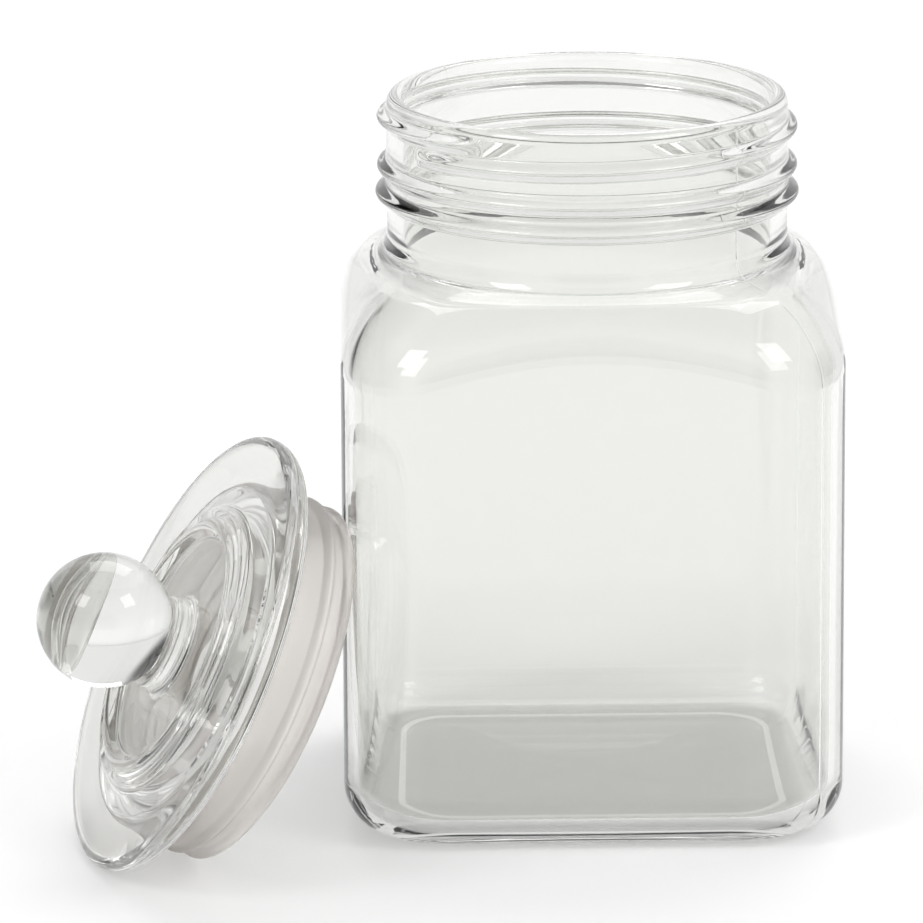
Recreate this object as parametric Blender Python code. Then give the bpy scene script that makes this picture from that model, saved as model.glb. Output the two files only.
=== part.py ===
"""Square glass storage jar with a round threaded neck, standing open, and its glass lid leaning on it.

The lid carries a solid glass ball knob and a ribbed sealing ring round its plug. Metres, +Z up. The origin is
the centre of the jar's underside. The lid is turned about its own axis first, then leaned on the jar's left wall.
"""
import math

import bmesh
import bpy
from mathutils import Matrix, Vector

MM = 0.001
GAP = 0.3 * MM  # clearance between neighbouring pieces

# Driving dimensions of the jar
BODY_WIDTH = 115 * MM
BODY_CORNER = 21 * MM
JAR_HEIGHT = 166 * MM
NECK_RADIUS = 46.3 * MM
BORE_RADIUS = 42.4 * MM
BODY_WALL = 3.2 * MM
BASE_THICKNESS = 4.6 * MM
HEEL_RADIUS = 12 * MM
INNER_HEEL_RADIUS = 9 * MM
HEEL_SHARE = 0.6  # how much of the heel's inset also tightens the corner
HEEL_TURNS = (0, 22, 45, 68, 90)  # degrees round the heel, from the underside to the wall
INNER_HEEL_TURNS = (90, 60, 30, 0)
LIP_ROUND = 2.4 * MM
LIP_START = JAR_HEIGHT - LIP_ROUND
LIP_LAND_OUTER = 0.25 * MM  # the lip's narrow flat crest, either side of the middle of its wall
LIP_LAND_INNER = 0.75 * MM

# The domed shoulder: it starts to bend lower at the corners than at the middle of each face
SHOULDER_TOP = 129 * MM
SHOULDER_TOP_RADIUS = 49.4 * MM
FACE_DROP = 12.5 * MM
CORNER_DROP = 20.5 * MM
SHOULDER_POWER = 1.74  # 2 would make each column a quarter of an ellipse
DOME_END = math.radians(64)
COVE_START = math.radians(30)
NECK_WALL_START = 135.4 * MM
INNER_SHOULDER_TOP = 126.2 * MM
INNER_SHOULDER_RADIUS = 46.2 * MM
BORE_START = 132.4 * MM

# Rounds moulded on the neck: two level beads and a thread that falls to the right-hand rule
LOWER_BEAD = (143.2 * MM, 2.6 * MM)  # height and how far it stands out
UPPER_BEAD = (149.4 * MM, 2.2 * MM)
BEAD_HALF_HEIGHT = 2.3 * MM
BEAD_ROWS = (-1, -0.55, 0, 0.55, 1)  # sections over a bead, in shares of its half height
THREAD_START = math.radians(-124)
THREAD_TURN = math.radians(385)
THREAD_TOP = 161.6 * MM
THREAD_PITCH = 4.7 * MM
THREAD_DEPTH = 2.2 * MM
THREAD_FADE = math.radians(12)
THREAD_ROWS = 12
HUMP_POWER = 1.3  # above 1 gives the rounds narrower crests and softer feet

# Driving dimensions of the lid, measured from the plane that seats on the jar's lip
LID_RADIUS = 52.5 * MM
FLANGE_THICKNESS = 6.6 * MM
FLANGE_CREST = 41 * MM  # the flange's top falls gently from here to its rim
FLANGE_FALL = 0.7 * MM
RIM_ROUND = 2.1 * MM
PLATEAU_RADIUS = 31.7 * MM
PLATEAU_HEIGHT = 9.4 * MM
PANEL_RADIUS = 26.5 * MM
PANEL_HEIGHT = 7.6 * MM
COLLAR_RADIUS = 11 * MM
COLLAR_HEIGHT = 12 * MM
PLUG_RADIUS = 39.6 * MM
PLUG_DEPTH = 17.2 * MM
HOLLOW_MOUTH_RADIUS = 35.2 * MM
HOLLOW_TOP_RADIUS = 33 * MM
HOLLOW_TOP = 1.6 * MM
COLLAR_ROUND = 1 * MM
COLLAR_COVE = 2 * MM
PLATEAU_ROUND = 2.4 * MM
PLATEAU_COVE = 3.4 * MM
PLATEAU_COVE_RADIUS = 35.9 * MM
PLUG_ROUND = 1.6 * MM
PLUG_RELIEF = 0.6 * MM
HOLLOW_ROUND = 3 * MM

# Ball knob
BALL_RADIUS = 15.5 * MM
BALL_CENTRE = 24.9 * MM
BALL_FOOT_RADIUS = 9.2 * MM

# Sealing ring
SEAL_RADIUS = 41 * MM
SEAL_RIBS = ((-10.2 * MM, 43.3 * MM), (-15.2 * MM, 42.9 * MM))  # height and radius of each rib
SEAL_RIB_HALF = 1.5 * MM
SEAL_RIB_SHOULDER = 0.55 * MM
SEAL_RIB_DROP = 0.35 * MM
SEAL_RIB_FOOT = 0.1 * MM
SEAL_TOP = -1.2 * MM
SEAL_CHAMFER = 0.6 * MM
SEAL_BOTTOM = -16.9 * MM

# How the lid leans on the jar
LEAN = math.radians(26.1)  # the lid's plane from the vertical
LEAN_AZIMUTH = math.radians(14.5)  # how far the knob points towards the front
LEAN_CENTRE_X = -92.7 * MM
LEAN_CENTRE_Y = -51.1 * MM

JAR_COLUMNS = 72
LID_COLUMNS = 64
KNOB_COLUMNS = 40
COLUMN_CROWDING = 0.42  # how much closer the columns stand at the body's corners
SHARP_ANGLE = math.radians(40)
MERGE_DISTANCE = 0.0001 * MM


def arc(centre, radius, start, end, steps):
    """Points of an arc in a profile's plane, angles in degrees from the outward direction."""
    points = []
    for step in range(steps + 1):
        angle = math.radians(start + (end - start) * step / steps)
        points.append((centre[0] + radius * math.cos(angle), centre[1] + radius * math.sin(angle)))
    return points


def glass(name, colour, roughness, transmission):
    """A clear or frosted material."""
    material = bpy.data.materials.new(name)
    material.use_nodes = True
    shader = material.node_tree.nodes["Principled BSDF"]
    shader.inputs["Base Color"].default_value = (*colour, 1)
    shader.inputs["Roughness"].default_value = roughness
    shader.inputs["Metallic"].default_value = 0
    shader.inputs["IOR"].default_value = 1.5
    shader.inputs["Transmission Weight"].default_value = transmission
    return material


def finish(bm, name, material):
    """Turn a bmesh into a named, smooth-shaded object."""
    bmesh.ops.recalc_face_normals(bm, faces=bm.faces)
    mesh = bpy.data.meshes.new(name)
    bm.to_mesh(mesh)
    bm.free()
    mesh.shade_smooth()
    mesh.set_sharp_from_angle(angle=SHARP_ANGLE)
    mesh.materials.append(material)
    piece = bpy.data.objects.new(name, mesh)
    bpy.context.scene.collection.objects.link(piece)
    return piece


def column_angles():
    """Directions of the jar's columns, crowded towards the four corners."""
    angles = []
    for column in range(JAR_COLUMNS):
        even = 2 * math.pi * column / JAR_COLUMNS
        angles.append(even + COLUMN_CROWDING / 4 * math.sin(4 * even))
    return angles


def square_radius(angle, half_width, corner):
    """Distance from the axis to a rounded square, in one direction."""
    along = abs(math.cos(angle))
    across = abs(math.sin(angle))
    long_side = max(along, across)
    short_side = min(along, across)
    straight = half_width - corner
    reach = half_width / long_side
    if reach * short_side <= straight:
        return reach
    middle = straight * (along + across)
    return middle + math.sqrt(max(middle**2 - 2 * straight**2 + corner**2, 0))


def wrap(angle):
    """The same direction between 0 and a full turn."""
    return angle % (2 * math.pi)


def hump(distance, half):
    """A rounded bump of height 1, in cross-section."""
    if abs(distance) >= half:
        return 0
    return math.cos(math.pi / 2 * distance / half) ** HUMP_POWER


def neck_relief(angle, height):
    """How far the beads and the thread stand out of the neck's wall."""
    relief = 0
    for bead_height, depth in (LOWER_BEAD, UPPER_BEAD):
        relief = max(relief, depth * hump(height - bead_height, BEAD_HALF_HEIGHT))
    travelled = wrap(THREAD_START - angle)
    while travelled <= THREAD_TURN:
        centre = THREAD_TOP - THREAD_PITCH * travelled / (2 * math.pi)
        end = min(travelled, THREAD_TURN - travelled) / THREAD_FADE
        depth = THREAD_DEPTH * math.sin(math.pi / 2 * min(end, 1))
        relief = max(relief, depth * hump(height - centre, BEAD_HALF_HEIGHT))
        travelled += 2 * math.pi
    return relief


def square_ring(angles, half_width, corner, height):
    """A rounded-square section of the jar."""
    ring = []
    for angle in angles:
        radius = square_radius(angle, half_width, corner)
        ring.append(Vector((radius * math.cos(angle), radius * math.sin(angle), height)))
    return ring


def round_ring(angles, radius, height):
    """A round section of the jar."""
    return [Vector((radius * math.cos(angle), radius * math.sin(angle), height)) for angle in angles]


def dome(angles, half_width, corner, top_radius, top_height, steps):
    """Sections over a shoulder, from the upright walls towards the round foot of the neck.

    They stop at DOME_END, where the neck's cove takes the slope over."""
    reach = [square_radius(angle, half_width, corner) for angle in angles]
    span = max(reach) - half_width
    rings = []
    for step in range(steps + 1):
        turn = DOME_END * step / steps
        inward = 1 - math.cos(turn) ** (2 / SHOULDER_POWER)
        upward = math.sin(turn) ** (2 / SHOULDER_POWER)
        ring = []
        for angle, wall in zip(angles, reach):
            drop = FACE_DROP + (CORNER_DROP - FACE_DROP) * (wall - half_width) / span
            radius = wall + (top_radius - wall) * inward
            height = top_height + drop * (upward - 1)
            ring.append(Vector((radius * math.cos(angle), radius * math.sin(angle), height)))
        rings.append(ring)
    return rings


def cove(angles, low, high, steps):
    """Round sections of a hollow curve up to a (radius, height) point, where it stands upright."""
    rings = []
    for step in range(steps + 1):
        turn = COVE_START + (math.pi / 2 - COVE_START) * step / steps
        radius = low[0] + (high[0] - low[0]) * math.sin(turn)
        height = low[1] + (high[1] - low[1]) * (1 - math.cos(turn))
        rings.append(round_ring(angles, radius, height))
    return rings


def jar_outside(angles):
    """Sections from the underside to the lip's crest."""
    half = BODY_WIDTH / 2
    rings = []
    for turn in HEEL_TURNS:
        angle = math.radians(turn)
        inset = HEEL_RADIUS * (1 - math.sin(angle))
        height = HEEL_RADIUS * (1 - math.cos(angle))
        rings.append(square_ring(angles, half - inset, BODY_CORNER - inset * HEEL_SHARE, height))
    rings += dome(angles, half, BODY_CORNER, SHOULDER_TOP_RADIUS, SHOULDER_TOP, 8)
    foot = (SHOULDER_TOP_RADIUS, SHOULDER_TOP)
    rings += cove(angles, foot, (NECK_RADIUS, NECK_WALL_START), 4)
    heights = [bead + BEAD_HALF_HEIGHT * share for bead, _ in (LOWER_BEAD, UPPER_BEAD) for share in BEAD_ROWS]
    thread_low = THREAD_TOP - THREAD_PITCH * THREAD_TURN / (2 * math.pi) - BEAD_HALF_HEIGHT
    thread_span = LIP_START - thread_low
    heights += [thread_low + thread_span * row / THREAD_ROWS for row in range(THREAD_ROWS + 1)]
    for height in heights:
        ring = []
        for angle in angles:
            radius = NECK_RADIUS + neck_relief(angle, height)
            ring.append(Vector((radius * math.cos(angle), radius * math.sin(angle), height)))
        rings.append(ring)
    return rings


def jar_lip(angles):
    """Sections over the rounded lip, from outside to inside, with a narrow flat land on its crest."""
    land = (NECK_RADIUS + BORE_RADIUS) / 2
    outer = arc((land + LIP_LAND_OUTER, LIP_START), LIP_ROUND, 30, 90, 3)
    inner = arc((land - LIP_LAND_INNER, LIP_START), LIP_ROUND, 90, 180, 3)
    inner = [(max(radius, BORE_RADIUS), height) for radius, height in inner]
    return [round_ring(angles, radius, height) for radius, height in outer + inner]


def jar_inside(angles):
    """Sections from the bore down to the floor inside."""
    half = BODY_WIDTH / 2 - BODY_WALL
    corner = BODY_CORNER - BODY_WALL
    upward = dome(angles, half, corner, INNER_SHOULDER_RADIUS, INNER_SHOULDER_TOP, 6)
    foot = (INNER_SHOULDER_RADIUS, INNER_SHOULDER_TOP)
    upward += cove(angles, foot, (BORE_RADIUS, BORE_START), 3)
    rings = list(reversed(upward))
    for turn in INNER_HEEL_TURNS:
        angle = math.radians(turn)
        inset = INNER_HEEL_RADIUS * (1 - math.sin(angle))
        height = BASE_THICKNESS + INNER_HEEL_RADIUS * (1 - math.cos(angle))
        rings.append(square_ring(angles, half - inset, corner - inset * HEEL_SHARE, height))
    return rings


def skin(bm, rings):
    """Faces between neighbouring sections, and the two end caps."""
    verts = [[bm.verts.new(point) for point in ring] for ring in rings]
    count = len(verts[0])
    for lower, upper in zip(verts, verts[1:]):
        for column in range(count):
            after = (column + 1) % count
            bm.faces.new((lower[column], lower[after], upper[after], upper[column]))
    for ring in (verts[0], verts[-1]):
        centre = bm.verts.new(sum((vert.co for vert in ring), Vector()) / count)
        for column in range(count):
            bm.faces.new((centre, ring[column], ring[(column + 1) % count]))


def make_jar(material):
    angles = column_angles()
    bm = bmesh.new()
    skin(bm, jar_outside(angles) + jar_lip(angles) + jar_inside(angles))
    return finish(bm, "jar", material)


def turned(name, profile, columns, material, pose):
    """A solid of revolution about the lid's axis, put in the lid's place."""
    bm = bmesh.new()
    verts = [bm.verts.new((radius, 0, height)) for radius, height in profile]
    edges = [bm.edges.new(pair) for pair in zip(verts, verts[1:])]
    if profile[0][0] > 0:
        edges.append(bm.edges.new((verts[-1], verts[0])))
    bmesh.ops.spin(
        bm,
        geom=verts + edges,
        cent=(0, 0, 0),
        axis=(0, 0, 1),
        angle=2 * math.pi,
        steps=columns,
        use_merge=True,
    )
    bmesh.ops.remove_doubles(bm, verts=bm.verts, dist=MERGE_DISTANCE)
    piece = finish(bm, name, material)
    piece.parent = pose
    return piece


def lid_profile():
    """From the crest of the collar outwards, over the flange and down the plug to the hollow's top."""
    edge = FLANGE_THICKNESS / 2
    cove = (PLATEAU_COVE_RADIUS, FLANGE_THICKNESS + PLATEAU_COVE)
    plug_foot = PLUG_ROUND - PLUG_DEPTH
    points = [(0, COLLAR_HEIGHT)]
    points += arc((COLLAR_RADIUS - COLLAR_ROUND, COLLAR_HEIGHT - COLLAR_ROUND), COLLAR_ROUND, 90, 0, 2)
    points += arc((COLLAR_RADIUS + COLLAR_COVE, PANEL_HEIGHT + COLLAR_COVE), COLLAR_COVE, 180, 270, 2)
    points += [(PANEL_RADIUS, PANEL_HEIGHT)]
    points += arc((PLATEAU_RADIUS - PLATEAU_ROUND, PLATEAU_HEIGHT - PLATEAU_ROUND), PLATEAU_ROUND, 115, 15, 4)
    points += arc(cove, PLATEAU_COVE, 205, 265, 3)
    slope = 90 - math.degrees(math.atan2(FLANGE_FALL, LID_RADIUS - RIM_ROUND - FLANGE_CREST))
    rim = (LID_RADIUS - RIM_ROUND, FLANGE_THICKNESS - FLANGE_FALL - RIM_ROUND)
    points += [(FLANGE_CREST, FLANGE_THICKNESS)]
    points += arc(rim, RIM_ROUND, slope, 0, 4)
    points += arc((LID_RADIUS - edge, edge), edge, 0, -90, 5)
    points += [(PLUG_RADIUS + PLUG_RELIEF, 0), (PLUG_RADIUS, -PLUG_RELIEF)]
    points += arc((PLUG_RADIUS - PLUG_ROUND, plug_foot), PLUG_ROUND, 0, -90, 3)
    points += arc((HOLLOW_MOUTH_RADIUS + PLUG_ROUND, plug_foot), PLUG_ROUND, -90, -175, 3)
    points += arc((HOLLOW_TOP_RADIUS - HOLLOW_ROUND, HOLLOW_TOP - HOLLOW_ROUND), HOLLOW_ROUND, 5, 90, 3)
    points += [(0, HOLLOW_TOP)]
    return points


def knob_profile():
    """From the top of the ball round to its flat foot."""
    foot_angle = math.degrees(math.acos(BALL_FOOT_RADIUS / BALL_RADIUS))
    ball = arc((0, BALL_CENTRE), BALL_RADIUS, 90, -foot_angle, 13)
    foot = COLLAR_HEIGHT + GAP
    return [(0, ball[0][1])] + ball[1:] + [(BALL_FOOT_RADIUS, foot), (0, foot)]


def seal_profile():
    """The sealing ring's section: straight inside, two rounded ribs outside."""
    inner = PLUG_RADIUS + GAP
    points = [(inner + SEAL_CHAMFER, SEAL_TOP), (SEAL_RADIUS, SEAL_TOP)]
    for height, radius in SEAL_RIBS:
        points.append((SEAL_RADIUS + SEAL_RIB_FOOT, height + SEAL_RIB_HALF))
        points.append((radius - SEAL_RIB_DROP, height + SEAL_RIB_SHOULDER))
        points.append((radius, height))
        points.append((radius - SEAL_RIB_DROP, height - SEAL_RIB_SHOULDER))
    points.append((SEAL_RADIUS, SEAL_BOTTOM))
    points.append((inner, SEAL_BOTTOM))
    points.append((inner, SEAL_TOP - SEAL_CHAMFER))
    return points


def lid_pose():
    """The empty that holds the lid where it leans: its Z is the lid's axis, towards the knob."""
    level = math.cos(LEAN)
    axis = Vector((-level * math.cos(LEAN_AZIMUTH), -level * math.sin(LEAN_AZIMUTH), math.sin(LEAN)))
    downhill = (axis * axis.z - Vector((0, 0, 1))).normalized()
    across = axis.cross(downhill)
    edge = FLANGE_THICKNESS / 2
    middle = Vector((LEAN_CENTRE_X, LEAN_CENTRE_Y, (LID_RADIUS - edge) * level + edge))
    pose = bpy.data.objects.new("lid_axis", None)
    bpy.context.scene.collection.objects.link(pose)
    turn = Matrix((downhill, across, axis)).transposed().to_4x4()
    pose.matrix_world = Matrix.Translation(middle - axis * edge) @ turn
    return pose


def main():
    for old in list(bpy.data.objects):
        bpy.data.objects.remove(old)
    clear_glass = glass("clear_glass", (0.93, 0.95, 0.94), 0.02, 0.9)
    frosted = glass("frosted_seal", (0.9, 0.88, 0.85), 0.45, 0.4)
    make_jar(clear_glass)
    pose = lid_pose()
    turned("lid", lid_profile(), LID_COLUMNS, clear_glass, pose)
    turned("knob", knob_profile(), KNOB_COLUMNS, clear_glass, pose)
    turned("gasket", seal_profile(), LID_COLUMNS, frosted, pose)


main()
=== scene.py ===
import math

import bpy
from mathutils import Matrix, Vector


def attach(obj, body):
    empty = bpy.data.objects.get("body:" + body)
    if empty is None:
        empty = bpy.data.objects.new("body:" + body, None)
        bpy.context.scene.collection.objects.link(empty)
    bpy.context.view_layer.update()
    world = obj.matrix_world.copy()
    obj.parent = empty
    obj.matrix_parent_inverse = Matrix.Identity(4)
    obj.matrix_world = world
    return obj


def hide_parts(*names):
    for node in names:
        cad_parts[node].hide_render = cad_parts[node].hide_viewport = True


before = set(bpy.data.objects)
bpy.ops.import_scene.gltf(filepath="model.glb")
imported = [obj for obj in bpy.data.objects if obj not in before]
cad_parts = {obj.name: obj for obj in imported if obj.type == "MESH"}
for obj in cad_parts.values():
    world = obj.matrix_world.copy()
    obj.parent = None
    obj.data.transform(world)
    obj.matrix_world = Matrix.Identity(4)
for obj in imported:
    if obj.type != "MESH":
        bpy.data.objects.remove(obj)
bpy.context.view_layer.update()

MM = 0.001

# ---------------------------------------------------------------- the jar
BODY_HALF = 57.5 * MM
BODY_CORNER = 21 * MM
JAR_HEIGHT = 166 * MM
NECK_RADIUS = 46.3 * MM
BORE_RADIUS = 42.4 * MM
BODY_WALL = 3.2 * MM
BASE_THICKNESS = 4.6 * MM
HEEL_RADIUS = 12 * MM
INNER_HEEL_RADIUS = 9 * MM
HEEL_SHARE = 0.6         # how much of the heel's inset also tightens the corner
HEEL_STEPS = 12
PUSH_UP = 0.5 * MM       # how far the underside is dished
PUSH_UP_REACH = 0.93     # share of the flat foot that the dish takes up
FOOT_SHARES = (0.15, 0.3, 0.45, 0.6, 0.72, 0.82, 0.9, 0.96)
FLOOR_SHARES = (0.9, 0.75, 0.55, 0.35, 0.15)
WALL_ROWS = 10
SHOULDER_TOP = 129 * MM
SHOULDER_TOP_RADIUS = 49.4 * MM
FACE_DROP = 12.5 * MM    # how far below its top the shoulder starts to bend, at the middle of a face
CORNER_DROP = 20.5 * MM
SHOULDER_POWER = 1.74
DOME_END = math.radians(64)
DOME_STEPS = 34
INNER_DOME_STEPS = 30
COVE_START = math.radians(30)
NECK_WALL_START = 135.4 * MM
INNER_SHOULDER_TOP = 127.2 * MM
INNER_SHOULDER_RADIUS = 44.4 * MM
BORE_START = 131.8 * MM
NECK_FOOT_STEPS = 14
BORE_FOOT_STEPS = 12
NECK_ROWS = 84
BORE_ROWS = 6
JOIN_ROWS = 5            # between the end of a dome and the cove that takes it over
LIP_ROUND = 2.4 * MM
LIP_START = JAR_HEIGHT - LIP_ROUND
LIP_STEPS = 12           # on either side of its crest

BEADS = ((143.2 * MM, 2.6 * MM), (149.4 * MM, 2.2 * MM))
BEAD_HALF_HEIGHT = 2.3 * MM
THREAD_START = math.radians(-124)
THREAD_TURN = math.radians(385)
THREAD_TOP = 161.6 * MM
THREAD_PITCH = 4.7 * MM
THREAD_DEPTH = 2.2 * MM
THREAD_FADE = math.radians(12)
HUMP_POWER = 1.3

# Where the two halves of the mould met, and how far the line they left stands out
SEAMS = ((math.radians(-45), 0.09 * MM), (math.radians(135), 0.03 * MM))
SEAM_HALF = math.radians(0.32)
SEAM_COLUMNS = (-1.5, -1, -0.5, 0, 0.5, 1, 1.5)  # in shares of the seam's half width
SEAM_CLEARANCE = 1.6

# ---------------------------------------------------------------- the lid
LID_RADIUS = 52.46 * MM
FLANGE_THICKNESS = 6.6 * MM
FLANGE_CREST = 41 * MM   # the flange's top falls gently from here to its rim
FLANGE_FALL = 0.7 * MM
RIM_ROUND = 2.1 * MM
PLATEAU_RADIUS = 31.7 * MM
PLATEAU_HEIGHT = 9.4 * MM
PANEL_RADIUS = 26.5 * MM
PANEL_HEIGHT = 7.6 * MM
COLLAR_RADIUS = 11 * MM
COLLAR_HEIGHT = 12 * MM
COLLAR_TOP_RADII = (4 * MM, 8 * MM)
PANEL_RADII = (16 * MM, 21 * MM, 24.5 * MM)
PANEL_COVE = 1.4 * MM
PANEL_COVE_INSET = 0.6 * MM
UNDERSIDE_RADII = (46 * MM, 43 * MM)
PLUG_RADIUS = 39.6 * MM
PLUG_DEPTH = 17.2 * MM
HOLLOW_MOUTH_RADIUS = 35.2 * MM
HOLLOW_TOP_RADIUS = 33 * MM
HOLLOW_TOP = 1.6 * MM
HOLLOW_TOP_RADII = (24 * MM, 16 * MM, 8 * MM, 0)
HOLLOW_WALL = ((34.5 * MM, -10 * MM), (33.7 * MM, -5 * MM))
PLUG_HEIGHTS = (-5 * MM, -10 * MM)
COLLAR_ROUND = 1 * MM
COLLAR_COVE = 2 * MM
PLATEAU_ROUND = 2.4 * MM
PLATEAU_COVE = 3.4 * MM
PLATEAU_COVE_RADIUS = 35.9 * MM
PLUG_ROUND = 1.6 * MM
PLUG_RELIEF = 0.6 * MM
HOLLOW_ROUND = 3 * MM
BALL_RADIUS = 15.46 * MM
BALL_CENTRE = 24.9 * MM
BALL_FOOT_RADIUS = 9.2 * MM
BALL_FOOT_MIDDLE = 5 * MM
BALL_STEPS = 64
GAP = 0.3 * MM           # clearance between neighbouring pieces
SEAL_RADIUS = 41 * MM
SEAL_RIBS = ((-10.2 * MM, 43.3 * MM), (-15.2 * MM, 42.9 * MM))  # height and radius of each rib
SEAL_RIB_HALF = 1.5 * MM
SEAL_RIB_STEPS = 16
SEAL_RIB_POWER = 0.8     # under 1 gives the ribs full crests
SEAL_TOP = -1.2 * MM
SEAL_BOTTOM = -16.9 * MM

LEAN = math.radians(26.1)          # the lid's plane from the vertical
LEAN_AZIMUTH = math.radians(14.5)  # how far the knob points towards the front
LEAN_CENTRE = Vector((-92.7 * MM, -51.1 * MM, 0))

JAR_COLUMNS = 256
LID_COLUMNS = 224
KNOB_COLUMNS = 160
COLUMN_CROWDING = 0.42   # how much closer the columns stand at the body's corners

# ---------------------------------------------------------------- looks
# base colour, how fine the waves in the glass are and how strong
JAR_GLASS = ((0.872, 0.876, 0.858), 26, 0.08)
LID_GLASS = ((0.79, 0.788, 0.766), 48, 0.13)
KNOB_GLASS = ((0.85, 0.853, 0.838), 60, 0.05)
GLASS_IOR = 1.5
WAVE_DEPTH = 1 * MM
SEAL_COLOUR = (1, 0.968, 0.945)
SEAL_GRAIN_DEPTH = 0.3 * MM

# Soft lights over the jar: name, place, target, width, height and power
SOFTBOXES = (
    ("top", (0.1, 0.85, 1.6), (0, 0, 0), 1.4, 0.9, 9),
    ("left", (-1.1, -0.9, 1.25), (0, 0, 0.08), 0.6, 0.6, 6),
    ("right", (1.25, -1.0, 1.45), (0, 0, 0.08), 0.8, 0.7, 7),
)
SKY_COLOUR = (0.93, 0.93, 0.93)
# Where the soft sky of the studio is darker: direction, start and end of the fall, and how dark
SKY_DIMS = (
    ((0, -1, 0.1), 0.88, 0.97, 0.05),
    ((0, 0, 1), 0.65, 0.96, 0.42),
    ((1, 0.25, 0.12), 0.92, 0.985, 0.12),
    ((-1, -0.1, 0.25), 0.8, 0.97, 0.12),
    ((-0.75, 0.55, 0.52), 0.86, 0.95, 0.03),
)
FLOOR_GLOW = 0.3
FLOOR_HALF = 6
GLASS_BOUNCES = 17  # light crosses many glass walls before it leaves a bead or a corner

CAMERA_PLACE = (-0.0669, -1.7990, 0.5570)
CAMERA_VIEW = (0.0202, 0.9662, -0.2571)
CAMERA_ROLL = math.radians(-0.3)
CAMERA_LENS = 312.07
SENSOR_WIDTH = 36


def arc(centre, radius, start, end, steps):
    """Points of an arc in a profile's plane, angles in degrees from the outward direction."""
    points = []
    for step in range(steps + 1):
        angle = math.radians(start + (end - start) * step / steps)
        points.append((centre[0] + radius * math.cos(angle), centre[1] + radius * math.sin(angle)))
    return points


# ---------------------------------------------------------------- mesh helpers
def mesh_object(name, verts, faces, material):
    """A smooth-shaded piece with one material."""
    mesh = bpy.data.meshes.new(name)
    mesh.from_pydata([tuple(v) for v in verts], [], faces)
    mesh.update()
    mesh.shade_smooth()
    mesh.materials.append(material)
    piece = bpy.data.objects.new(name, mesh)
    bpy.context.scene.collection.objects.link(piece)
    return piece


def skin(rings, closed_start, closed_end):
    """Vertices and faces over neighbouring rings, with a fan over each closed end."""
    verts = [point for ring in rings for point in ring]
    count = len(rings[0])
    faces = []
    for row in range(len(rings) - 1):
        for column in range(count):
            after = (column + 1) % count
            low = row * count
            high = low + count
            faces.append((low + column, low + after, high + after, high + column))
    if closed_start:
        centre = len(verts)
        verts.append(sum(rings[0], Vector()) / count)
        faces += [(centre, (column + 1) % count, column) for column in range(count)]
    if closed_end:
        centre = len(verts)
        first = (len(rings) - 1) * count
        verts.append(sum(rings[-1], Vector()) / count)
        faces += [(centre, first + column, first + (column + 1) % count) for column in range(count)]
    return verts, faces


# ---------------------------------------------------------------- jar
def column_angles():
    """Directions of the jar's columns, crowded at the corners, with more across each mould seam."""
    angles = []
    for column in range(JAR_COLUMNS):
        even = 2 * math.pi * column / JAR_COLUMNS
        angles.append(even + COLUMN_CROWDING / 4 * math.sin(4 * even))
    for seam_angle, _ in SEAMS:
        middle = seam_angle % (2 * math.pi)
        angles = [angle for angle in angles if abs(angle - middle) > SEAM_HALF * SEAM_CLEARANCE]
        angles += [middle + SEAM_HALF * part for part in SEAM_COLUMNS]
    return sorted(angles)


def square_radius(angle, half_width, corner):
    """Distance from the axis to a rounded square, in one direction."""
    along = abs(math.cos(angle))
    across = abs(math.sin(angle))
    straight = half_width - corner
    reach = half_width / max(along, across)
    if reach * min(along, across) <= straight:
        return reach
    middle = straight * (along + across)
    return middle + math.sqrt(max(middle**2 - 2 * straight**2 + corner**2, 0))


def hump(distance, half):
    """A rounded bump of height 1, in cross-section."""
    if abs(distance) >= half:
        return 0
    return math.cos(math.pi / 2 * distance / half) ** HUMP_POWER


def seam(angle):
    """Height of the fine line that the mould leaves."""
    for middle, height in SEAMS:
        away = (angle - middle + math.pi) % (2 * math.pi) - math.pi
        if abs(away) < SEAM_HALF:
            return height * math.cos(math.pi / 2 * away / SEAM_HALF)
    return 0


def neck_relief(angle, height):
    """How far the beads and the thread stand out of the neck's wall."""
    relief = 0
    for bead_height, depth in BEADS:
        relief = max(relief, depth * hump(height - bead_height, BEAD_HALF_HEIGHT))
    travelled = (THREAD_START - angle) % (2 * math.pi)
    while travelled <= THREAD_TURN:
        centre = THREAD_TOP - THREAD_PITCH * travelled / (2 * math.pi)
        end = min(travelled, THREAD_TURN - travelled) / THREAD_FADE
        depth = THREAD_DEPTH * math.sin(math.pi / 2 * min(end, 1))
        relief = max(relief, depth * hump(height - centre, BEAD_HALF_HEIGHT))
        travelled += 2 * math.pi
    return relief


def square_ring(angles, half_width, corner, height):
    """A rounded-square section of the jar."""
    ring = []
    for angle in angles:
        radius = square_radius(angle, half_width, corner)
        ring.append(Vector((radius * math.cos(angle), radius * math.sin(angle), height)))
    return ring


def round_ring(angles, radius, height):
    """A round section of the jar."""
    return [Vector((radius * math.cos(angle), radius * math.sin(angle), height)) for angle in angles]


def neck_ring(angles, height):
    """A section of the neck with its beads and thread."""
    ring = []
    for angle in angles:
        radius = NECK_RADIUS + neck_relief(angle, height)
        ring.append(Vector((radius * math.cos(angle), radius * math.sin(angle), height)))
    return ring


def with_seam(ring, angles):
    """The same ring with the mould seam standing out of it."""
    out = []
    for angle, point in zip(angles, ring):
        rise = seam(angle)
        out.append(point + Vector((math.cos(angle), math.sin(angle), 0)) * rise)
    return out


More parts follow.
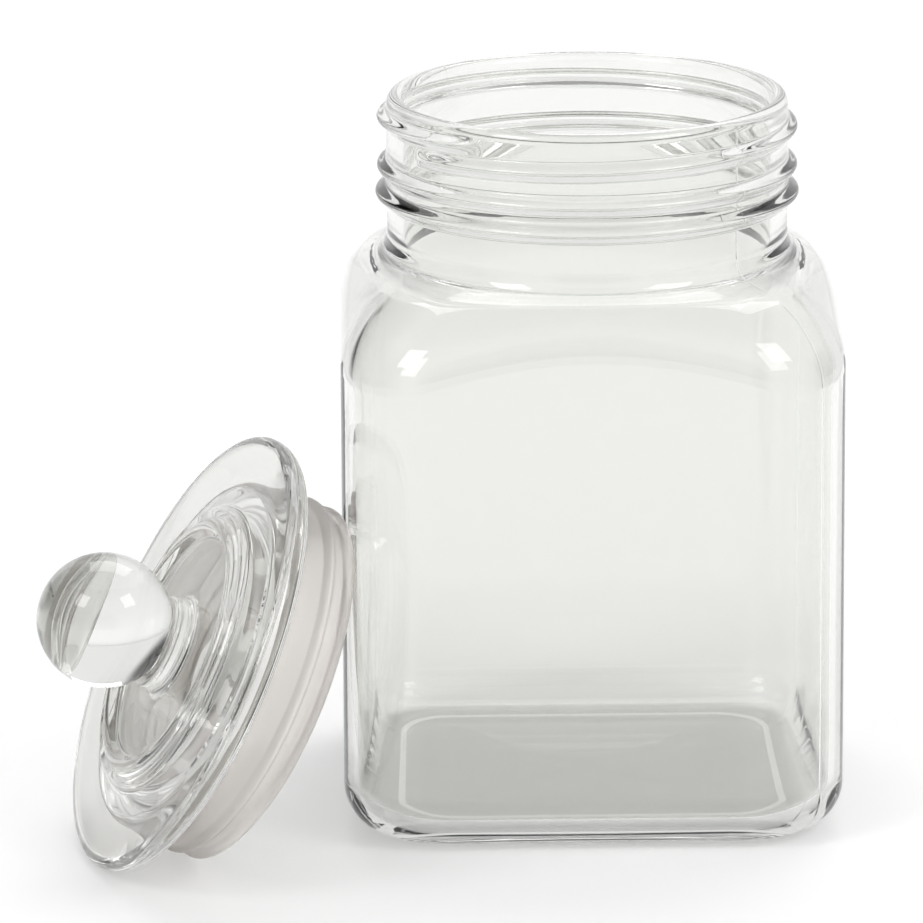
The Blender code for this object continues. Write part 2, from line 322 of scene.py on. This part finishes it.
def dome(angles, half_width, corner, top_radius, top_height, steps):
    """Sections over the shoulder, which bends lower at the corners than at the middle of each face.

    They stop where the slope is still DOME_END, so that the neck's cove can take it over."""
    reach = [square_radius(angle, half_width, corner) for angle in angles]
    span = max(reach) - half_width
    rings = []
    for step in range(steps + 1):
        turn = DOME_END * step / steps
        inward = 1 - math.cos(turn) ** (2 / SHOULDER_POWER)
        upward = math.sin(turn) ** (2 / SHOULDER_POWER)
        ring = []
        for angle, wall in zip(angles, reach):
            drop = FACE_DROP + (CORNER_DROP - FACE_DROP) * (wall - half_width) / span
            radius = wall + (top_radius - wall) * inward
            height = top_height + drop * (upward - 1)
            ring.append(Vector((radius * math.cos(angle), radius * math.sin(angle), height)))
        rings.append(ring)
    return rings


def cove(angles, low, high, steps):
    """Round sections of a hollow curve up to a (radius, height) point, where it stands upright."""
    rings = []
    for step in range(steps + 1):
        turn = COVE_START + (math.pi / 2 - COVE_START) * step / steps
        radius = low[0] + (high[0] - low[0]) * math.sin(turn)
        height = low[1] + (high[1] - low[1]) * (1 - math.cos(turn))
        rings.append(round_ring(angles, radius, height))
    return rings


def between(low_ring, high_ring, rows):
    """Sections spaced evenly between two rings, without them."""
    rings = []
    for row in range(1, rows):
        rings.append([low.lerp(high, row / rows) for low, high in zip(low_ring, high_ring)])
    return rings


def foot_rings(angles):
    """The dished underside, from near its centre to the standing ring."""
    foot = BODY_HALF - HEEL_RADIUS
    corner = BODY_CORNER - HEEL_RADIUS * HEEL_SHARE
    rings = []
    for part in FOOT_SHARES:
        dish = PUSH_UP * (0.5 + 0.5 * math.cos(math.pi * min(part / PUSH_UP_REACH, 1)))
        rings.append(square_ring(angles, foot * part, corner * part, dish))
    return rings


def heel_rings(angles, half, corner, radius, floor):
    """The rounded heel of a rounded square, from its flat floor up to its wall."""
    rings = []
    for step in range(HEEL_STEPS + 1):
        angle = math.pi / 2 * step / HEEL_STEPS
        inset = radius * (1 - math.sin(angle))
        height = floor + radius * (1 - math.cos(angle))
        rings.append(square_ring(angles, half - inset, corner - inset * HEEL_SHARE, height))
    return rings


def outside_rings(angles):
    """From the underside up to the start of the lip, with the mould seam."""
    rings = foot_rings(angles) + heel_rings(angles, BODY_HALF, BODY_CORNER, HEEL_RADIUS, 0)
    over = dome(angles, BODY_HALF, BODY_CORNER, SHOULDER_TOP_RADIUS, SHOULDER_TOP, DOME_STEPS)
    foot = (SHOULDER_TOP_RADIUS, SHOULDER_TOP)
    neck_foot = cove(angles, foot, (NECK_RADIUS, NECK_WALL_START), NECK_FOOT_STEPS)
    rings += between(rings[-1], over[0], WALL_ROWS) + over
    rings += between(over[-1], neck_foot[0], JOIN_ROWS) + neck_foot
    for row in range(1, NECK_ROWS + 1):
        rings.append(neck_ring(angles, NECK_WALL_START + (LIP_START - NECK_WALL_START) * row / NECK_ROWS))
    return [with_seam(ring, angles) for ring in rings]


def lip_rings(angles):
    """Over the rounded lip, from outside to inside."""
    crest = (NECK_RADIUS + BORE_RADIUS) / 2
    rings = []
    for step in range(1, 2 * LIP_STEPS):
        turn = math.pi * step / (2 * LIP_STEPS)
        radius = crest + (NECK_RADIUS - crest) * math.cos(turn)
        rings.append(round_ring(angles, radius, LIP_START + LIP_ROUND * math.sin(turn)))
    return rings


def inside_rings(angles, lip_foot):
    """From the lip down the bore, the shoulder and the walls to the floor inside."""
    half = BODY_HALF - BODY_WALL
    corner = BODY_CORNER - BODY_WALL
    under = dome(angles, half, corner, INNER_SHOULDER_RADIUS, INNER_SHOULDER_TOP, INNER_DOME_STEPS)
    foot = (INNER_SHOULDER_RADIUS, INNER_SHOULDER_TOP)
    bore_foot = cove(angles, foot, (BORE_RADIUS, BORE_START), BORE_FOOT_STEPS)
    under += between(under[-1], bore_foot[0], JOIN_ROWS) + bore_foot
    under.reverse()
    rings = between(lip_foot, under[0], BORE_ROWS) + under
    heel = heel_rings(angles, half, corner, INNER_HEEL_RADIUS, BASE_THICKNESS)
    heel.reverse()
    rings += between(under[-1], heel[0], WALL_ROWS) + heel
    floor_half = half - INNER_HEEL_RADIUS
    floor_corner = corner - INNER_HEEL_RADIUS * HEEL_SHARE
    for part in FLOOR_SHARES:
        rings.append(square_ring(angles, floor_half * part, floor_corner * part, BASE_THICKNESS))
    return rings


def make_jar(material):
    angles = column_angles()
    rings = outside_rings(angles) + lip_rings(angles)
    rings += inside_rings(angles, rings[-1])
    verts, faces = skin(rings, True, True)
    return mesh_object("jar_glass", verts, faces, material)


# ---------------------------------------------------------------- lid, knob and seal
def lid_place():
    """Where the lid leans: local Z is the lid's axis towards the knob, local X runs downhill."""
    level = math.cos(LEAN)
    axis = Vector((-level * math.cos(LEAN_AZIMUTH), -level * math.sin(LEAN_AZIMUTH), math.sin(LEAN)))
    downhill = (axis * axis.z - Vector((0, 0, 1))).normalized()
    across = axis.cross(downhill)
    edge = FLANGE_THICKNESS / 2
    middle = LEAN_CENTRE + Vector((0, 0, (LID_RADIUS - edge) * level + edge))
    turn = Matrix((downhill, across, axis)).transposed().to_4x4()
    return Matrix.Translation(middle - axis * edge) @ turn


def turned(name, profile, columns, material, place):
    """A solid of revolution. The profile runs from top centre outwards and down, or is a closed loop."""
    looped = profile[0][0] > 0
    inner = profile if looped else profile[1:-1]
    rings = []
    for radius, height in inner:
        ring = []
        for column in range(columns):
            angle = 2 * math.pi * column / columns
            ring.append(Vector((radius * math.cos(angle), radius * math.sin(angle), height)))
        rings.append(ring)
    if looped:
        verts, faces = skin(rings + [rings[0]], False, False)
        last = len(rings) * columns
        faces = [tuple(vert - last if vert >= last else vert for vert in face) for face in faces]
        verts = verts[:last]
    else:
        verts, faces = skin(rings, True, True)
    faces = [tuple(reversed(face)) for face in faces]
    return mesh_object(name, [place @ vert for vert in verts], faces, material)


def lid_profile():
    """From the crest of the collar outwards, over the flange and down the plug to the hollow's top."""
    edge = FLANGE_THICKNESS / 2
    cove_centre = (PLATEAU_COVE_RADIUS, FLANGE_THICKNESS + PLATEAU_COVE)
    plug_foot = PLUG_ROUND - PLUG_DEPTH
    panel_edge = (PANEL_RADIUS - PANEL_COVE_INSET, PANEL_HEIGHT + PANEL_COVE)
    crest = (PLATEAU_RADIUS - PLATEAU_ROUND, PLATEAU_HEIGHT - PLATEAU_ROUND)
    points = [(0, COLLAR_HEIGHT)] + [(radius, COLLAR_HEIGHT) for radius in COLLAR_TOP_RADII]
    points += arc((COLLAR_RADIUS - COLLAR_ROUND, COLLAR_HEIGHT - COLLAR_ROUND), COLLAR_ROUND, 90, 0, 8)
    points += arc((COLLAR_RADIUS + COLLAR_COVE, PANEL_HEIGHT + COLLAR_COVE), COLLAR_COVE, 180, 270, 10)
    points += [(radius, PANEL_HEIGHT) for radius in PANEL_RADII]
    points += arc(panel_edge, PANEL_COVE, 270, 318, 5)
    points += arc(crest, PLATEAU_ROUND, 128, 15, 16)
    points += arc(cove_centre, PLATEAU_COVE, 205, 265, 10)
    slope = 90 - math.degrees(math.atan2(FLANGE_FALL, LID_RADIUS - RIM_ROUND - FLANGE_CREST))
    rim = (LID_RADIUS - RIM_ROUND, FLANGE_THICKNESS - FLANGE_FALL - RIM_ROUND)
    points += [(FLANGE_CREST, FLANGE_THICKNESS)]
    points += arc(rim, RIM_ROUND, slope, 0, 14)
    points += arc((LID_RADIUS - edge, edge), edge, 0, -90, 16)
    points += [(radius, 0) for radius in UNDERSIDE_RADII]
    points += arc((PLUG_RADIUS + PLUG_RELIEF, -PLUG_RELIEF), PLUG_RELIEF, 90, 180, 4)
    points += [(PLUG_RADIUS, height) for height in PLUG_HEIGHTS]
    points += arc((PLUG_RADIUS - PLUG_ROUND, plug_foot), PLUG_ROUND, 0, -90, 9)
    points += arc((HOLLOW_MOUTH_RADIUS + PLUG_ROUND, plug_foot), PLUG_ROUND, -90, -175, 9)
    points += HOLLOW_WALL
    points += arc((HOLLOW_TOP_RADIUS - HOLLOW_ROUND, HOLLOW_TOP - HOLLOW_ROUND), HOLLOW_ROUND, 5, 90, 12)
    points += [(radius, HOLLOW_TOP) for radius in HOLLOW_TOP_RADII]
    return points


def knob_profile():
    """From the top of the ball round to its flat foot."""
    foot_angle = math.degrees(math.acos(BALL_FOOT_RADIUS / BALL_RADIUS))
    ball = arc((0, BALL_CENTRE), BALL_RADIUS, 90, -foot_angle, BALL_STEPS)
    foot = COLLAR_HEIGHT + GAP
    return [(0, ball[0][1])] + ball[1:] + [(BALL_FOOT_RADIUS, foot), (BALL_FOOT_MIDDLE, foot), (0, foot)]


def seal_profile():
    """The sealing ring's section: straight inside with rounded edges, two rounded ribs outside."""
    inner = PLUG_RADIUS + GAP
    points = arc((inner + 0.5 * MM, SEAL_TOP - 0.5 * MM), 0.5 * MM, 180, 90, 4)
    points += arc((SEAL_RADIUS - 0.4 * MM, SEAL_TOP - 0.4 * MM), 0.4 * MM, 90, 0, 4)
    for height, radius in SEAL_RIBS:
        reach = radius - SEAL_RADIUS
        for step in range(SEAL_RIB_STEPS + 1):
            part = -1 + 2 * step / SEAL_RIB_STEPS
            lift = math.cos(math.pi / 2 * part) ** SEAL_RIB_POWER
            points.append((SEAL_RADIUS + reach * lift, height - SEAL_RIB_HALF * part))
    points += arc((SEAL_RADIUS - 0.3 * MM, SEAL_BOTTOM + 0.2 * MM), 0.2 * MM, 0, -90, 3)
    points += arc((inner + 0.4 * MM, SEAL_BOTTOM + 0.4 * MM), 0.4 * MM, 270, 180, 4)
    return points


# ---------------------------------------------------------------- materials
def principled(name):
    material = bpy.data.materials.new(name)
    material.use_nodes = True
    tree = material.node_tree
    return material, tree, tree.nodes["Principled BSDF"]


def roughen(tree, shader, scale, detail, roughness, strength, depth):
    """Bump from noise in the object's own space."""
    coords = tree.nodes.new("ShaderNodeTexCoord")
    noise = tree.nodes.new("ShaderNodeTexNoise")
    noise.inputs["Scale"].default_value = scale
    noise.inputs["Detail"].default_value = detail
    noise.inputs["Roughness"].default_value = roughness
    bump = tree.nodes.new("ShaderNodeBump")
    bump.inputs["Strength"].default_value = strength
    bump.inputs["Distance"].default_value = depth
    tree.links.new(coords.outputs["Object"], noise.inputs["Vector"])
    tree.links.new(noise.outputs["Fac"], bump.inputs["Height"])
    tree.links.new(bump.outputs["Normal"], shader.inputs["Normal"])


def clear_glass(name, tint, wave_scale, wave_strength):
    material, tree, shader = principled(name)
    shader.inputs["Base Color"].default_value = (*tint, 1)
    shader.inputs["Roughness"].default_value = 0.0
    shader.inputs["IOR"].default_value = GLASS_IOR
    shader.inputs["Transmission Weight"].default_value = 1.0
    roughen(tree, shader, wave_scale, 1.5, 0.4, wave_strength, WAVE_DEPTH)
    return material


def frosted_seal():
    material, tree, shader = principled("frosted_seal")
    shader.inputs["Base Color"].default_value = (*SEAL_COLOUR, 1)
    shader.inputs["Roughness"].default_value = 0.38
    shader.inputs["IOR"].default_value = 1.18
    shader.inputs["Transmission Weight"].default_value = 0.72
    roughen(tree, shader, 900, 3, 0.5, 0.15, SEAL_GRAIN_DEPTH)
    return material


def floor_material():
    material, tree, shader = principled("white_sweep")
    shader.inputs["Base Color"].default_value = (0.8, 0.8, 0.8, 1)
    shader.inputs["Roughness"].default_value = 0.7
    shader.inputs["Specular IOR Level"].default_value = 0.2
    shader.inputs["Emission Color"].default_value = (1, 1, 1, 1)
    shader.inputs["Emission Strength"].default_value = FLOOR_GLOW
    return material


# ---------------------------------------------------------------- stage
def make_floor():
    size = FLOOR_HALF
    verts = [(-size, -size, 0), (size, -size, 0), (size, size, 0), (-size, size, 0)]
    floor = mesh_object("floor", verts, [(0, 1, 2, 3)], floor_material())


def area(name, place, target, width, height, power):
    light = bpy.data.lights.new(name, "AREA")
    light.shape = "RECTANGLE"
    light.size = width
    light.size_y = height
    light.energy = power
    lamp = bpy.data.objects.new(name, light)
    bpy.context.scene.collection.objects.link(lamp)
    lamp.location = place
    lamp.rotation_euler = (Vector(target) - Vector(place)).to_track_quat("-Z", "Y").to_euler()


def dimmed(tree, coords, direction, start, end, depth):
    """A factor of 1 that falls to depth where the sky lies near one direction."""
    dot = tree.nodes.new("ShaderNodeVectorMath")
    dot.operation = "DOT_PRODUCT"
    dot.inputs[1].default_value = Vector(direction).normalized()
    ramp = tree.nodes.new("ShaderNodeMapRange")
    ramp.interpolation_type = "SMOOTHSTEP"
    ramp.inputs["From Min"].default_value = start
    ramp.inputs["From Max"].default_value = end
    ramp.inputs["To Min"].default_value = 1
    ramp.inputs["To Max"].default_value = depth
    tree.links.new(coords, dot.inputs[0])
    tree.links.new(dot.outputs["Value"], ramp.inputs["Value"])
    return ramp.outputs["Result"]


def make_world():
    """A soft white sky, dimmed in a few directions so that the glass has darker edges."""
    world = bpy.data.worlds.new("studio")
    bpy.context.scene.world = world
    world.use_nodes = True
    tree = world.node_tree
    back = tree.nodes["Background"]
    coords = tree.nodes.new("ShaderNodeTexCoord")
    total = None
    for direction, start, end, depth in SKY_DIMS:
        factor = dimmed(tree, coords.outputs["Generated"], direction, start, end, depth)
        if total is None:
            total = factor
            continue
        product = tree.nodes.new("ShaderNodeMath")
        product.operation = "MULTIPLY"
        tree.links.new(total, product.inputs[0])
        tree.links.new(factor, product.inputs[1])
        total = product.outputs[0]
    tree.links.new(total, back.inputs["Strength"])
    back.inputs["Color"].default_value = (*SKY_COLOUR, 1)


def make_camera():
    camera = bpy.data.cameras.new("camera")
    camera.sensor_width = SENSOR_WIDTH
    camera.lens = CAMERA_LENS
    camera.clip_start = 0.05
    camera.clip_end = 50
    holder = bpy.data.objects.new("camera", camera)
    bpy.context.scene.collection.objects.link(holder)
    turn = Vector(CAMERA_VIEW).to_track_quat("-Z", "Y").to_matrix().to_4x4()
    roll = Matrix.Rotation(CAMERA_ROLL, 4, "Z")
    holder.matrix_world = Matrix.Translation(CAMERA_PLACE) @ turn @ roll
    bpy.context.scene.camera = holder


def main():
    scene = bpy.context.scene
    scene.view_settings.view_transform = "Standard"
    scene.cycles.max_bounces = GLASS_BOUNCES
    scene.cycles.transmission_bounces = GLASS_BOUNCES
    scene.cycles.glossy_bounces = GLASS_BOUNCES
    jar = make_jar(clear_glass("jar_glass", *JAR_GLASS))
    lid_material = clear_glass("lid_glass", *LID_GLASS)
    knob_material = clear_glass("knob_glass", *KNOB_GLASS)
    place = lid_place()
    lid = turned("lid_glass", lid_profile(), LID_COLUMNS, lid_material, place)
    knob = turned("ball_knob", knob_profile(), KNOB_COLUMNS, knob_material, place)
    seal = turned("sealing_ring", seal_profile(), LID_COLUMNS, frosted_seal(), place)
    for piece, node, body, slot in (
        (jar, "jar", "jar", "clear_glass"),
        (lid, "lid", "lid", "clear_glass"),
        (knob, "knob", "lid", "clear_glass"),
        (seal, "gasket", "lid", "frosted_seal"),
    ):
        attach(piece, body)
        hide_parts(node)
    make_floor()
    make_world()
    for softbox in SOFTBOXES:
        area(*softbox)
    make_camera()


main()
